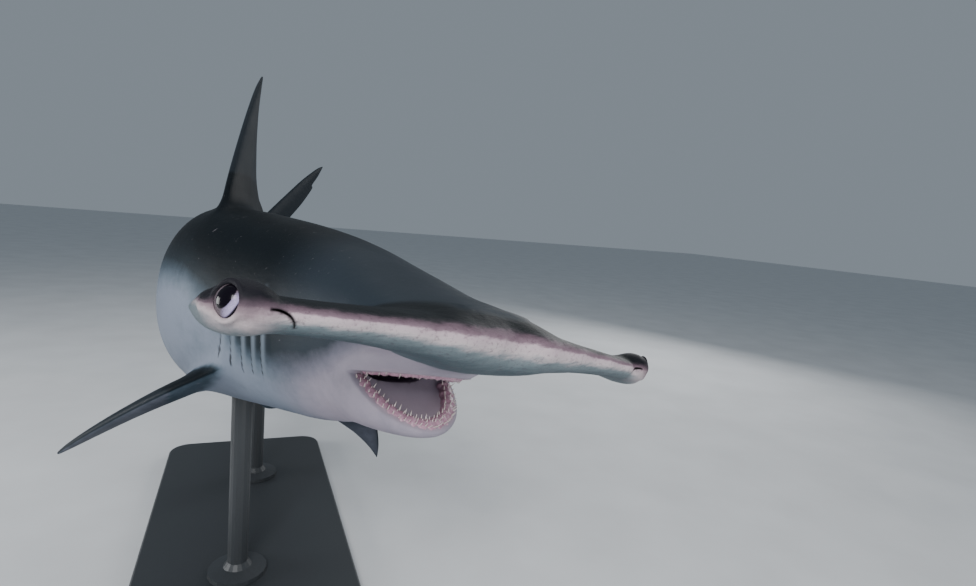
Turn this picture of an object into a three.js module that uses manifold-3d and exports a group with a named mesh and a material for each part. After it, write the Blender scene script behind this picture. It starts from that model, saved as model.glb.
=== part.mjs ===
import * as THREE from 'three';
import { mergeVertices } from 'three/addons/utils/BufferGeometryUtils.js';
import Module from 'manifold-3d';

// Great hammerhead shark, life size, turning to its left with the mouth open.
// Millimetres, Z up. The head faces -Y and the shark's left is +X.
// Body shapes are given as (x, s, z): x to the shark's left of its spine, s along
// the spine from the front of the head, z above the spine.

const TOTAL_LENGTH = 3400;
const HALF_HAMMER = 434;
const SNOUT_HEIGHT = 860;
const ROD_S = [900, 1500];
const GAP = 0.4;

// Pose: heading, climb and bank of the spine in degrees at lengths along it.
const HEADING = [[250, -19], [750, -35], [1270, 16], [1900, -4], [2350, -9], [2850, 34]];
const CLIMB = [[300, -5], [1000, -5], [2400, 0]];
const BANK = [[300, -11.5], [1000, -3], [2400, -3]];

// Trunk: length along the spine, then half width, height above and depth below it.
const TRUNK = [
  [70, 96, 30, 36],
  [150, 136, 48, 58],
  [220, 148, 68, 76],
  [300, 150, 92, 118],
  [380, 152, 116, 182],
  [460, 158, 142, 226],
  [560, 164, 170, 238],
  [700, 170, 200, 240],
  [880, 177, 228, 240],
  [1080, 176, 242, 236],
  [1300, 164, 230, 226],
  [1600, 136, 192, 186],
  [1900, 100, 148, 138],
  [2150, 68, 106, 98],
  [2350, 47, 76, 66],
  [2460, 38, 62, 56],
  [2560, 26, 48, 44],
];
const SECTION_POWER = 2.15;

const TIP_DROOP = 14;
const REAR_SAG = 8;
const UPPER_SHARE = 0.6;
const NOSTRIL_SHARE = 0.83;
const NOSTRIL_HEIGHT = -17;
const LEAD_SWEEP = 26;
const CHORD = 205;

const EYE_RADIUS = 23.5;
const EYE_OPENING = 21;
const EYE_DEPTH = 18;
const EYE_NARROWING = 0.8;
const EYE_AT = [417, 49, -15];
const EYE_CANT = 30;
const LID_RADIUS = 3.5;

const HINGE_S = 310;
const HINGE_Z = -103;
const JAW_DROP = 34;
const SNOUT_LIFT = 8;
const JAW_HALF_WIDTH = 116;
const JAW_LENGTH = 152;
const MUZZLE_HALF_WIDTH = 117;
const MUZZLE_LENGTH = 158;
const TOOTH_HEIGHT = 9;
const TOOTH_RADIUS = 3.4;
const LOWER_TEETH = 19;
const UPPER_TEETH = 15;

const GILL_SLITS = [575, 612, 649, 686, 720];
const GILL_HALF_HEIGHT = 94;
const GILL_HEIGHT = -60;
const SLIT_WIDTH = 4;
const SLIT_DEPTH = 14;

const BASE_WIDTH = 560;
const BASE_LENGTH = 1260;
const BASE_THICKNESS = 36;
const BASE_CORNER = 70;
const BASE_BEVEL = 5;
const ROD_RADIUS = 26;
const FOOT_RADIUS = 74;

const BODY_COLOUR = 0x55636d;
const BACK_COLOUR = 0x3c4850;
const JAW_COLOUR = 0xb9b2ba;
const FIN_COLOUR = 0x2f3b43;
const EYE_COLOUR = 0x17131c;
const STAND_COLOUR = 0x2b2d30;

const radians = THREE.MathUtils.degToRad;

// Smooth curve through given points that never overshoots them.
function curve(points) {
  const last = points.length - 1;
  const step = (i) => points[i + 1][0] - points[i][0];
  const rise = (i) => (points[i + 1][1] - points[i][1]) / step(i);
  const slope = points.map((point, i) => {
    if (i === 0 || i === last) return 0;
    const before = rise(i - 1);
    const after = rise(i);
    if (before * after <= 0) return 0;
    const a = 2 * step(i) + step(i - 1);
    const b = step(i) + 2 * step(i - 1);
    return (a + b) / (a / before + b / after);
  });
  return (value) => {
    if (value <= points[0][0]) return points[0][1];
    if (value >= points[last][0]) return points[last][1];
    let i = 0;
    while (value > points[i + 1][0]) i += 1;
    const h = step(i);
    const t = (value - points[i][0]) / h;
    const back = 1 - t;
    return (1 + 2 * t) * back * back * points[i][1]
      + t * back * back * h * slope[i]
      + t * t * (3 - 2 * t) * points[i + 1][1]
      - t * t * back * h * slope[i + 1];
  };
}

// The spine is walked in short steps from the front of the head to the tail.
const SPINE_STEP = 10;
const heading = curve(HEADING);
const climb = curve(CLIMB);
const bank = curve(BANK);
const spine = [];
function spineAxes(s) {
  const th = radians(heading(s));
  const ph = radians(climb(s));
  const back = new THREE.Vector3(
    Math.sin(th) * Math.cos(ph),
    Math.cos(th) * Math.cos(ph),
    Math.sin(ph),
  );
  const level = new THREE.Vector3(Math.cos(th), -Math.sin(th), 0);
  const side = level.clone().applyAxisAngle(back, -radians(bank(s)));
  const up = new THREE.Vector3().crossVectors(side, back);
  return { back, side, up };
}
const walker = new THREE.Vector3(0, 0, SNOUT_HEIGHT);
for (let s = 0; s <= TOTAL_LENGTH + 400; s += SPINE_STEP) {
  const axes = spineAxes(s);
  spine.push({ point: walker.clone(), ...axes });
  walker.addScaledVector(spineAxes(s + SPINE_STEP / 2).back, SPINE_STEP);
}

// The middle of the two rods stands over the origin.
const anchor = new THREE.Vector3();
for (const s of ROD_S) {
  anchor.addScaledVector(spine[s / SPINE_STEP].point, 1 / ROD_S.length);
}
anchor.z = 0;
for (const station of spine) station.point.sub(anchor);

function frameAt(s) {
  const along = THREE.MathUtils.clamp(s / SPINE_STEP, 0, spine.length - 1.001);
  const i = Math.floor(along);
  const f = along - i;
  const blend = (key) => spine[i][key].clone().lerp(spine[i + 1][key], f);
  const frame = { point: blend('point'), back: blend('back'), side: blend('side'), up: blend('up') };
  frame.point.addScaledVector(frame.back, Math.min(s, 0));
  return frame;
}

function place(x, s, z) {
  const frame = frameAt(s);
  return frame.point.addScaledVector(frame.side, x).addScaledVector(frame.up, z);
}

const wasm = await Module();
wasm.setup();

// A closed geometry becomes a solid with its faces turned outward.
function solidOf(geometry) {
  const bare = geometry.clone();
  bare.deleteAttribute('normal');
  bare.deleteAttribute('uv');
  const merged = mergeVertices(bare, 1e-3);
  const position = merged.attributes.position;
  const index = Array.from(merged.index.array);
  const faces = [];
  let volume = 0;
  const [a, b, c] = [new THREE.Vector3(), new THREE.Vector3(), new THREE.Vector3()];
  for (let i = 0; i < index.length; i += 3) {
    const [p, q, r] = index.slice(i, i + 3);
    if (p === q || q === r || r === p) continue;
    a.fromBufferAttribute(position, p);
    b.fromBufferAttribute(position, q);
    c.fromBufferAttribute(position, r);
    volume += a.dot(b.cross(c)) / 6;
    faces.push([p, q, r]);
  }
  const turned = volume < 0 ? faces.map(([p, q, r]) => [p, r, q]) : faces;
  return new wasm.Manifold(new wasm.Mesh({
    numProp: 3,
    vertProperties: new Float32Array(position.array),
    triVerts: new Uint32Array(turned.flat()),
  }));
}

// Sphere whose rows run along a shape (t from 0 to 1) and whose columns run around it
// (angle a). Both faces of a thin shape are split into triangles alike.
function loft(columns, rows, shape) {
  const sphere = new THREE.SphereGeometry(1, columns, rows);
  const position = sphere.attributes.position;
  const wide = columns + 1;
  const middle = (t) => {
    const sum = new THREE.Vector3();
    for (let k = 0; k < columns; k += 1) sum.add(shape(t, (2 * Math.PI * k) / columns));
    return sum.divideScalar(columns);
  };
  const ends = [middle(0), middle(1)];
  for (let row = 0; row <= rows; row += 1) {
    const t = (row - 1) / (rows - 2);
    for (let k = 0; k <= columns; k += 1) {
      let point = null;
      if (row === 0) point = ends[0];
      else if (row === rows) point = ends[1];
      else point = shape(t, (2 * Math.PI * (k % columns)) / columns);
      position.setXYZ(row * wide + k, point.x, point.y, point.z);
    }
  }
  const index = [];
  for (let row = 0; row < rows; row += 1) {
    for (let k = 0; k < columns; k += 1) {
      const a = row * wide + k + 1;
      const b = row * wide + k;
      const c = (row + 1) * wide + k;
      const d = (row + 1) * wide + k + 1;
      const far = 2 * k >= columns;
      if (row === 0) index.push(b, c, d);
      else if (row === rows - 1) index.push(a, b, c);
      else if (far) index.push(a, b, c, a, c, d);
      else index.push(a, b, d, b, c, d);
    }
  }
  sphere.setIndex(index);
  return sphere;
}

function moved(geometry, move) {
  const position = geometry.attributes.position;
  const point = new THREE.Vector3();
  for (let i = 0; i < position.count; i += 1) {
    point.fromBufferAttribute(position, i);
    const to = move(point.x, point.y, point.z);
    position.setXYZ(i, to.x, to.y, to.z);
  }
  return geometry;
}

const power = (value, exponent) => Math.sign(value) * Math.abs(value) ** exponent;

// Trunk from inside the head to the root of the tail fin.
const halfWidth = curve(TRUNK.map((row) => [row[0], row[1]]));
const above = curve(TRUNK.map((row) => [row[0], row[2]]));
const below = curve(TRUNK.map((row) => [row[0], row[3]]));
const TRUNK_START = TRUNK[0][0];
const TRUNK_END = TRUNK[TRUNK.length - 1][0];
function trunkSolid(grow, columns = 28, rows = 42) {
  return solidOf(loft(columns, rows, (t, a) => {
    const s = TRUNK_START + (TRUNK_END - TRUNK_START) * t;
    const x = power(Math.cos(a), 2 / SECTION_POWER) * (halfWidth(s) + grow);
    const high = Math.sin(a) > 0 ? above(s) : below(s);
    const z = power(Math.sin(a), 2 / SECTION_POWER) * (high + grow);
    return place(x, s, z);
  }));
}

// Hammer from tip to tip: front edge, rear edge and half thickness over the span.
function bump(value, centre, width) {
  return Math.exp(-(((value - centre) / width) ** 2));
}
function hammerEdges(x) {
  const span = Math.abs(x);
  const q = span / HALF_HAMMER;
  const u = Math.max(0, (q - 0.85) / 0.15);
  const round = 1 - Math.sqrt(Math.max(0, 1 - u * u));
  const front = 4 + LEAD_SWEEP * q ** 2.2 + 14 * bump(span, 0, 45)
    + 9 * bump(span, (NOSTRIL_SHARE - 0.01) * HALF_HAMMER, 20) + 50 * round;
  const blunt = 1 - Math.max(0, 1 - u ** 2.6) ** (1 / 2.6);
  const rear = CHORD - 28 * q + 90 * bump(q, 0, 0.33) - 94 * blunt;
  const thick = (27 + 7 * bump(q, 0.93, 0.1) + 30 * bump(q, 0, 0.4))
    * Math.sqrt(Math.max(0, 1 - u ** 4));
  const thinness = 0.62;
  const middle = -8 - TIP_DROOP * q * q;
  return { front, rear, thick, thinness, middle };
}
function hammerSolid(columns = 16, rows = 40) {
  return solidOf(loft(columns, rows, (t, a) => {
    const w = 2 * t - 1;
    const x = HALF_HAMMER * 0.999 * (0.55 * w + 0.45 * Math.sin((w * Math.PI) / 2));
    const { front, rear, thick, thinness, middle } = hammerEdges(x);
    const c = Math.cos(a);
    const mid = front + (rear - front) * 0.42;
    const s = c > 0 ? mid - (mid - front) * power(c, 0.85) : mid + (rear - mid) * -c;
    const thin = c < 0 ? 1 - thinness * (-c) ** 1.5 : 1;
    const high = Math.sin(a) * thick * thin * (Math.sin(a) > 0 ? UPPER_SHARE : 1);
    const sag = REAR_SAG * Math.min(c, 0) * (x / HALF_HAMMER) ** 6;
    return place(x, s, high + sag + middle);
  }));
}

// Points of a jaw are turned about the hinge line: the lower one down, the upper one up.
function aboutHinge(degrees) {
  const turn = radians(degrees);
  return (x, s, z) => {
    const ds = s - HINGE_S;
    const dz = z - HINGE_Z;
    return place(
      x,
      HINGE_S + ds * Math.cos(turn) - dz * Math.sin(turn),
      HINGE_Z + dz * Math.cos(turn) + ds * Math.sin(turn),
    );
  };
}
const jawPlace = aboutHinge(JAW_DROP);
const snoutPlace = aboutHinge(-SNOUT_LIFT);
function egg(columns, rows, centre, half, put = place) {
  const [cx, cs, cz] = centre;
  const [hx, hs, hz] = half;
  return solidOf(moved(
    new THREE.SphereGeometry(1, columns, rows),
    (x, y, z) => put(cx + hx * x, cs + hs * z, cz + hz * y),
  ));
}
function jawSolid() {
  return solidOf(moved(new THREE.SphereGeometry(1, 26, 12), (x, y, z) => {
    const s = HINGE_S + (z < 0 ? JAW_LENGTH : 130) * z;
    const wide = JAW_HALF_WIDTH * power(x, 0.92);
    const deep = THREE.MathUtils.mapLinear(s, HINGE_S - JAW_LENGTH, HINGE_S, 44, 130);
    return jawPlace(wide, s, HINGE_Z + (y > 0 ? 14 * power(y, 0.6) : deep * power(y, 0.9)));
  }));
}

// Point on the arch of a jaw at an angle from the middle of the front.
function archPoint(angle, halfWide, length) {
  return [halfWide * Math.sin(angle), HINGE_S - length * Math.cos(angle)];
}
// Upper jaw: a low dome under the head with a flat underside round the mouth. In front
// it flares upward into the underside of the hammer.
function muzzleSolid() {
  return solidOf(moved(new THREE.SphereGeometry(1, 24, 12), (x, y, z) => {
    const flare = 1 + 0.8 * Math.max(0, y) * THREE.MathUtils.smoothstep(-z, 0, 0.6);
    return snoutPlace(
      MUZZLE_HALF_WIDTH * power(x, 0.92) * flare,
      HINGE_S + (z < 0 ? MUZZLE_LENGTH : 140) * z * flare,
      HINGE_Z + (y > 0 ? 56 * power(y, 0.9) : 5 * power(y, 0.5)),
    );
  }));
}

let seed = 7;
function chance() {
  seed = (seed * 16807) % 2147483647;
  return seed / 2147483647;
}
function toothSolid(base, tip) {
  const cone = new THREE.ConeGeometry(TOOTH_RADIUS, 1, 4, 1);
  const axis = tip.clone().sub(base);
  const length = axis.length();
  const turn = new THREE.Quaternion().setFromUnitVectors(
    new THREE.Vector3(0, 1, 0),
    axis.clone().normalize(),
  );
  return solidOf(moved(cone, (x, y, z) => new THREE.Vector3(x, (y + 0.5) * length, z)
    .applyQuaternion(turn).add(base)));
}
function lowerTeeth() {
  const teeth = [];
  for (const row of [0, 1]) {
    const count = LOWER_TEETH - 4 * row;
    for (let k = 0; k < count; k += 1) {
      const angle = radians(-74 + (148 * k) / (count - 1));
      const [x, s] = archPoint(angle, JAW_HALF_WIDTH - 12 - 10 * row, JAW_LENGTH - 11 - 12 * row);
      const high = TOOTH_HEIGHT * (0.8 + 0.4 * chance());
      const out = (row === 0 ? 7 : -3) * (0.7 + 0.6 * chance());
      const base = jawPlace(x, s, HINGE_Z + 2);
      const tip = jawPlace(
        x + out * Math.sin(angle),
        s - out * Math.cos(angle),
        HINGE_Z + 11 + high,
      );
      teeth.push(toothSolid(base, tip));
    }
  }
  return teeth;
}
function upperTeeth() {
  const teeth = [];
  for (let k = 0; k < UPPER_TEETH; k += 1) {
    const angle = radians(-66 + (132 * k) / (UPPER_TEETH - 1));
    const [x, s] = archPoint(angle, MUZZLE_HALF_WIDTH - 16, MUZZLE_LENGTH - 15);
    const high = 0.7 * TOOTH_HEIGHT * (0.8 + 0.4 * chance());
    const base = snoutPlace(x, s, HINGE_Z + 4);
    const tip = snoutPlace(x, s + 3, HINGE_Z - 4 - high);
    teeth.push(toothSolid(base, tip));
  }
  return teeth;
}

// Eyes look sideways and forward. Points round an eye are given across it, up and out.
function eyePlace(side) {
  const cant = radians(EYE_CANT);
  const [x, s, z] = EYE_AT;
  const at = place(side * x, s, z);
  const out = place(side * Math.cos(cant), -Math.sin(cant), 0).sub(place(0, 0, 0)).normalize();
  const across = new THREE.Vector3().crossVectors(frameAt(0).up, out).normalize();
  const high = new THREE.Vector3().crossVectors(out, across);
  return (a, b, c) => at.clone().addScaledVector(across, a).addScaledVector(high, b)
    .addScaledVector(out, c);
}
function ball(side, radius) {
  return egg(16, 10, [0, 0, -EYE_DEPTH], [radius, radius, radius], eyePlace(side));
}
// Flesh behind the eye, a bowl cut out before it, and a ring between them as its lids.
function orbit(side) {
  return egg(16, 10, [0, 0, -26], [36, 27, 32], eyePlace(side));
}
function eyeBowl(side) {
  return egg(16, 10, [0, 0, 16], [28 * EYE_NARROWING, 28, 28], eyePlace(side));
}
function lid(side) {
  const put = eyePlace(side);
  return solidOf(moved(
    new THREE.TorusGeometry(EYE_OPENING + 1, LID_RADIUS, 6, 18),
    (x, y, z) => put(x * EYE_NARROWING, y, z - 4),
  ));
}

// Nostril: a slot in the front edge whose inner end turns down.
function nostril(side) {
  const x0 = side * NOSTRIL_SHARE * HALF_HAMMER;
  return solidOf(moved(new THREE.SphereGeometry(1, 12, 6), (x, y, z) => {
    const inner = Math.max(0, -side * x);
    const height = NOSTRIL_HEIGHT + 3 * y + side * 5 * x - 5 * x * x - 9 * inner ** 4;
    return place(x0 + 19 * x, hammerEdges(x0).front + 2 + 15 * z, height);
  }));
}

// Five gill slits a side, narrow curved cuts that leave flaps between them.
function gillSlit(side, s0, number) {
  const tall = GILL_HALF_HEIGHT * (number === 4 ? 0.72 : 1) * (1 - 0.04 * number);
  return solidOf(moved(new THREE.BoxGeometry(1, 1, 1, 1, 1, 5), (x, y, z) => {
    const s = s0 + 18 * (2 * z) ** 2 - 10 * z;
    const height = GILL_HEIGHT + 2 * z * tall;
    const high = height > 0 ? above(s) : below(s);
    const edge = Math.max(0.05, 1 - (Math.abs(height) / high) ** SECTION_POWER);
    const wall = halfWidth(s) * edge ** (1 / SECTION_POWER);
    const taper = 1.02 - (2 * z) ** 4 * 0.8;
    return place(
      side * (wall + 4 - SLIT_DEPTH * taper * (0.5 - x)),
      s - 9 * (0.5 - x) + SLIT_WIDTH * y * taper,
      height,
    );
  }));
}

// Fin between a leading edge and a trailing edge, both given as (chord, span) points.
function between(points) {
  const last = points.length - 1;
  const chord = curve(points.map((point, i) => [i / last, point[0]]));
  const span = curve(points.map((point, i) => [i / last, point[1]]));
  return (t) => [chord(t), span(t)];
}
function blade({ lead, trail, thick, put, columns = 10, rows = 12 }) {
  const front = between(lead);
  const rear = between(trail);
  return solidOf(loft(columns, rows, (t, a) => {
    const [fc, fs] = front(t);
    const [rc, rs] = rear(t);
    const c = Math.cos(a);
    const share = c > 0 ? 0.36 * (1 - c) : 0.36 + 0.64 * -c;
    const thin = c < 0 ? 1 - 0.9 * (-c) ** 1.2 : 1;
    const wide = (thick * (1 - t) ** 0.9 + 1.6) * Math.sin(a) * thin;
    return put(fc + (rc - fc) * share, fs + (rs - fs) * share, wide);
  }));
}
// Fins on the middle line follow the spine, or stand stiffly in one frame of it.
function medianFin(s0, z0, up, shape) {
  return blade({ ...shape, put: (chord, span, wide) => place(wide, s0 + chord, z0 + up * span) });
}
function stiffFin(s0, z0, frameS, lean, shape) {
  const root = place(0, s0, z0);
  const { back, side, up } = frameAt(frameS);
  side.applyAxisAngle(back, radians(lean));
  up.applyAxisAngle(back, radians(lean));
  const put = (chord, span, wide) => root.clone().addScaledVector(back, chord)
    .addScaledVector(up, span)
    .addScaledVector(side, wide);
  return blade({ ...shape, put });
}
// Paired fins droop from the level, sweep to the rear and twist the rear edge down.
function pairedFin(side, s0, x0, z0, pose, shape) {
  const frame = frameAt(s0);
  const root = place(side * x0, s0, z0);
  const [droop, sweep, twist] = [pose.droop, pose.sweep, pose.twist].map(radians);
  const mix = (a, b, angle) => a.clone().multiplyScalar(Math.cos(angle))
    .addScaledVector(b, Math.sin(angle));
  const level = frame.side.clone().multiplyScalar(side);
  const out = mix(level, frame.up, -droop);
  const top = mix(frame.up, level, droop);
  const span = mix(out, frame.back, sweep);
  const flat = mix(frame.back, out, -sweep / 2);
  const chord = mix(flat, top, -twist);
  const face = mix(top, flat, twist);
  const put = (c, h, w) => root.clone().addScaledVector(chord, c).addScaledVector(span, h)
    .addScaledVector(face, w - pose.curl * (Math.max(0, h) / 400) ** 2);
  return blade({ ...shape, put });
}

const RIGHT_PECTORAL = { droop: 32, sweep: 35, twist: 26, curl: 24 };
const LEFT_PECTORAL = { droop: 32, sweep: -28, twist: 40, curl: 10 };
const PELVICS = { droop: 42, sweep: 0, twist: 0, curl: 0 };
const DORSAL_LEAN = -6;
const FIRST_DORSAL = {
  lead: [[-165, -45], [-95, 60], [20, 200], [130, 320], [215, 400], [265, 437]],
  trail: [[150, -40], [275, 18], [218, 60], [190, 130], [200, 260], [238, 370], [266, 436]],
  thick: 25,
};
const SECOND_DORSAL = {
  lead: [[-85, -25], [-35, 40], [20, 95], [60, 135], [82, 150]],
  trail: [[70, -25], [205, 18], [120, 30], [72, 70], [70, 115], [84, 149]],
  thick: 9,
};
const ANAL_FIN = {
  lead: [[-95, -25], [-40, 40], [15, 90], [60, 125], [88, 140]],
  trail: [[80, -25], [200, 18], [110, 34], [70, 62], [72, 105], [90, 139]],
  thick: 9,
};
const PECTORAL = {
  lead: [[-140, -110], [-112, 75], [-52, 187], [34, 290], [102, 350], [141, 376]],
  trail: [[112, -110], [164, 33], [103, 89], [86, 164], [97, 257], [122, 335], [143, 375]],
  thick: 24,
};
const PELVIC = {
  lead: [[-90, -40], [-50, 50], [10, 115], [70, 165], [115, 190]],
  trail: [[80, -40], [205, 20], [125, 50], [85, 95], [92, 150], [117, 189]],
  thick: 10,
};
const TAIL_UPPER = {
  lead: [[-110, 20], [40, 100], [240, 215], [470, 358], [690, 490], [860, 572], [905, 584]],
  trail: [[-60, -40], [200, -20], [330, 70], [520, 215], [700, 345], [800, 440], [790, 452],
    [860, 520], [907, 578]],
  thick: 22,
  rows: 17,
};
const TAIL_LOWER = {
  lead: [[-90, -20], [20, 110], [110, 220], [190, 320], [240, 380]],
  trail: [[200, -45], [205, 40], [170, 120], [185, 220], [215, 310], [242, 379]],
  thick: 20,
};

// Whole body as one solid, before it is parted.
const eyes = { right: -1, left: 1 };
const trunk = trunkSolid(0);
const grown = trunkSolid(GAP).add(hammerSolid());
const palate = egg(16, 8, [0, HINGE_S - 52, HINGE_Z], [92, 90, 26], snoutPlace);
const mouthFloor = egg(20, 10, [0, HINGE_S - 34, HINGE_Z + 12], [92, 102, 36], jawPlace);
const gullet = egg(14, 8, [0, HINGE_S + 40, HINGE_Z - 6], [66, 92, 14]);
let body = wasm.Manifold.union([
  trunk, hammerSolid(), jawSolid(), muzzleSolid(), orbit(-1), orbit(1),
]);
body = wasm.Manifold.difference([body, palate, mouthFloor, gullet, eyeBowl(-1), eyeBowl(1)]);
body = wasm.Manifold.union([body, ...lowerTeeth(), ...upperTeeth(), lid(-1), lid(1)]);
const cuts = [];
for (const side of Object.values(eyes)) {
  cuts.push(ball(side, EYE_RADIUS + GAP), nostril(side));
  GILL_SLITS.forEach((s, number) => cuts.push(gillSlit(side, s, number)));
}
body = wasm.Manifold.difference([body, ...cuts]);

// Planes square to the spine part the body; half a gap is left on each side of them.
function ahead(solid, s) {
  const { point, back } = frameAt(s);
  const normal = back.clone().normalize().negate();
  return solid.trimByPlane(normal.toArray(), normal.dot(point) + GAP / 2);
}
function behind(solid, s) {
  const { point, back } = frameAt(s);
  const normal = back.clone().normalize();
  return solid.trimByPlane(normal.toArray(), normal.dot(point) + GAP / 2);
}
function sideOf(solid, x, side) {
  const { point, side: lateral } = frameAt(100);
  const normal = lateral.clone().normalize().multiplyScalar(side);
  return solid.trimByPlane(normal.toArray(), normal.dot(point) + x + GAP / 2);
}
function within(solid, x, side) {
  const { point, side: lateral } = frameAt(100);
  const normal = lateral.clone().normalize().multiplyScalar(-side);
  return solid.trimByPlane(normal.toArray(), normal.dot(point) - x + GAP / 2);
}

const NECK_S = 545;
const TORSO_S = 770;
const REAR_S = 1350;
const STALK_S = 1950;
const TAIL_S = 2400;
const HAMMER_X = 170;
const LOBE_S = 2560;
const LOBE_DEPTH = 34;
const headEnd = ahead(body, NECK_S);

// The lower jaw lies under the middle plane of the gape and ahead of a plane that
// runs down and back from the hinge.
function jawRegion(grow) {
  const half = radians((JAW_DROP - SNOUT_LIFT) / 2);
  const slope = radians(52);
  const origin = place(0, HINGE_S, HINGE_Z);
  const toWorld = (s, z) => place(0, HINGE_S + s, HINGE_Z + z).sub(origin).normalize();
  const down = toWorld(Math.sin(half), -Math.cos(half));
  const fore = toWorld(-Math.sin(slope), -Math.cos(slope));
  const block = solidOf(new THREE.BoxGeometry(900, 900, 900)
    .translate(origin.x, origin.y, origin.z));
  return block.trimByPlane(down.toArray(), down.dot(origin) - grow)
    .trimByPlane(fore.toArray(), fore.dot(origin) - grow);
}
const lowerJaw = headEnd.intersect(jawRegion(0));
const headWhole = headEnd.subtract(jawRegion(GAP));

const fins = {
  dorsal_fin_first: stiffFin(1005, 232, 1215, DORSAL_LEAN, FIRST_DORSAL),
  dorsal_fin_second: medianFin(2130, 92, 1, SECOND_DORSAL),
  anal_fin: medianFin(2120, -86, -1, ANAL_FIN),
  pectoral_fin_right: pairedFin(-1, 850, 112, -180, RIGHT_PECTORAL, PECTORAL),
  pectoral_fin_left: pairedFin(1, 850, 112, -180, LEFT_PECTORAL, PECTORAL),
  pelvic_fin_right: pairedFin(-1, 1700, 76, -118, PELVICS, PELVIC),
  pelvic_fin_left: pairedFin(1, 1700, 76, -118, PELVICS, PELVIC),
  caudal_fin_upper: medianFin(2480, 0, 1, TAIL_UPPER),
  caudal_fin_lower: medianFin(2480, 0, -1, TAIL_LOWER),
};

const group = new THREE.Group();
function largest(solid) {
  return solid.decompose().reduce((best, piece) => (piece.volume() > best.volume() ? piece : best));
}
function addNode(name, solid, colour) {
  const mesh = largest(solid).getMesh();
  const geometry = new THREE.BufferGeometry();
  geometry.setAttribute('position', new THREE.BufferAttribute(
    Float32Array.from(mesh.vertProperties),
    3,
  ));
  geometry.setIndex(Array.from(mesh.triVerts));
  geometry.computeVertexNormals();
  const node = new THREE.Mesh(
    geometry,
    new THREE.MeshStandardMaterial({ color: colour, roughness: 0.6 }),
  );
  node.name = name;
  group.add(node);
}

addNode('head', within(within(headWhole, HAMMER_X, 1), HAMMER_X, -1), BODY_COLOUR);
addNode('hammer_right', sideOf(headWhole, HAMMER_X, -1), BODY_COLOUR);
addNode('hammer_left', sideOf(headWhole, HAMMER_X, 1), BODY_COLOUR);
addNode('lower_jaw', lowerJaw, JAW_COLOUR);
addNode('neck', ahead(behind(body, NECK_S), TORSO_S), BODY_COLOUR);
addNode('torso', ahead(behind(body, TORSO_S), REAR_S), BODY_COLOUR);
addNode('rear_body', ahead(behind(body, REAR_S), STALK_S), BODY_COLOUR);
addNode('tail_stalk', ahead(behind(body, STALK_S), TAIL_S), BACK_COLOUR);
for (const [name, side] of Object.entries(eyes)) {
  addNode(`eye_${name}`, ball(side, EYE_RADIUS), EYE_COLOUR);
}
for (const [name, fin] of Object.entries(fins)) {
  if (name.startsWith('caudal')) continue;
  addNode(name, fin.subtract(grown), FIN_COLOUR);
}

// The tail fin is one form, parted below the spine into its upper and lower lobe.
function lobe(solid, up) {
  const origin = place(0, LOBE_S, -LOBE_DEPTH);
  const normal = frameAt(LOBE_S).up.clone().normalize().multiplyScalar(up);
  return solid.trimByPlane(normal.toArray(), normal.dot(origin) + GAP / 2);
}
const tail = behind(wasm.Manifold.union([body, fins.caudal_fin_upper, fins.caudal_fin_lower]), TAIL_S);
addNode('caudal_fin_upper', lobe(tail, 1), FIN_COLOUR);
addNode('caudal_fin_lower', lobe(tail, -1), FIN_COLOUR);

// Stand: a flat base with rounded corners and two rods that end just under the belly.
function baseSolid() {
  const outline = new THREE.Shape();
  const [x, y, r] = [BASE_WIDTH / 2, BASE_LENGTH / 2, BASE_CORNER];
  outline.moveTo(x - r, -y);
  outline.absarc(x - r, -y + r, r, -Math.PI / 2, 0);
  outline.absarc(x - r, y - r, r, 0, Math.PI / 2);
  outline.absarc(-x + r, y - r, r, Math.PI / 2, Math.PI);
  outline.absarc(-x + r, -y + r, r, Math.PI, 1.5 * Math.PI);
  return solidOf(new THREE.ExtrudeGeometry(outline, {
    depth: BASE_THICKNESS - 2 * BASE_BEVEL,
    bevelThickness: BASE_BEVEL,
    bevelSize: BASE_BEVEL,
    bevelOffset: -BASE_BEVEL,
    bevelSegments: 1,
    curveSegments: 5,
  }).translate(0, 0, BASE_BEVEL));
}
function rodSolid(s) {
  const { point } = frameAt(s);
  const profile = [
    [0, BASE_THICKNESS + GAP],
    [FOOT_RADIUS, BASE_THICKNESS + GAP],
    [FOOT_RADIUS, BASE_THICKNESS + 12],
    [ROD_RADIUS + 10, BASE_THICKNESS + 20],
    [ROD_RADIUS, BASE_THICKNESS + 34],
    [ROD_RADIUS, point.z - 100],
    [0, point.z - 100],
  ];
  return solidOf(new THREE.LatheGeometry(profile.map(([r, z]) => new THREE.Vector2(r, z)), 18)
    .rotateX(Math.PI / 2)
    .translate(point.x, point.y, 0));
}
addNode('stand_base', baseSolid(), STAND_COLOUR);
addNode('stand_rod_front', rodSolid(ROD_S[0]).subtract(grown), STAND_COLOUR);
addNode('stand_rod_rear', rodSolid(ROD_S[1]).subtract(grown), STAND_COLOUR);

export default group;
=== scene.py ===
# %% [markdown]
# # Great hammerhead shark, life size, on a display stand
# The shark swims with its mouth open, turning to its left. Its body is one skin, and the
# eyes, the teeth and the gums are separate pieces that sit in it. A flat base and two
# rods carry it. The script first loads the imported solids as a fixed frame, so every new
# piece can be set against them, and its last cells give the pieces to that frame.

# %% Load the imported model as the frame
from math import acos, atan2, cos, exp, hypot, pi, radians, sin, sqrt
from random import Random

import bmesh
import bpy
from mathutils import Matrix, Quaternion, Vector
from mathutils.bvhtree import BVHTree
from mathutils.kdtree import KDTree


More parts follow.
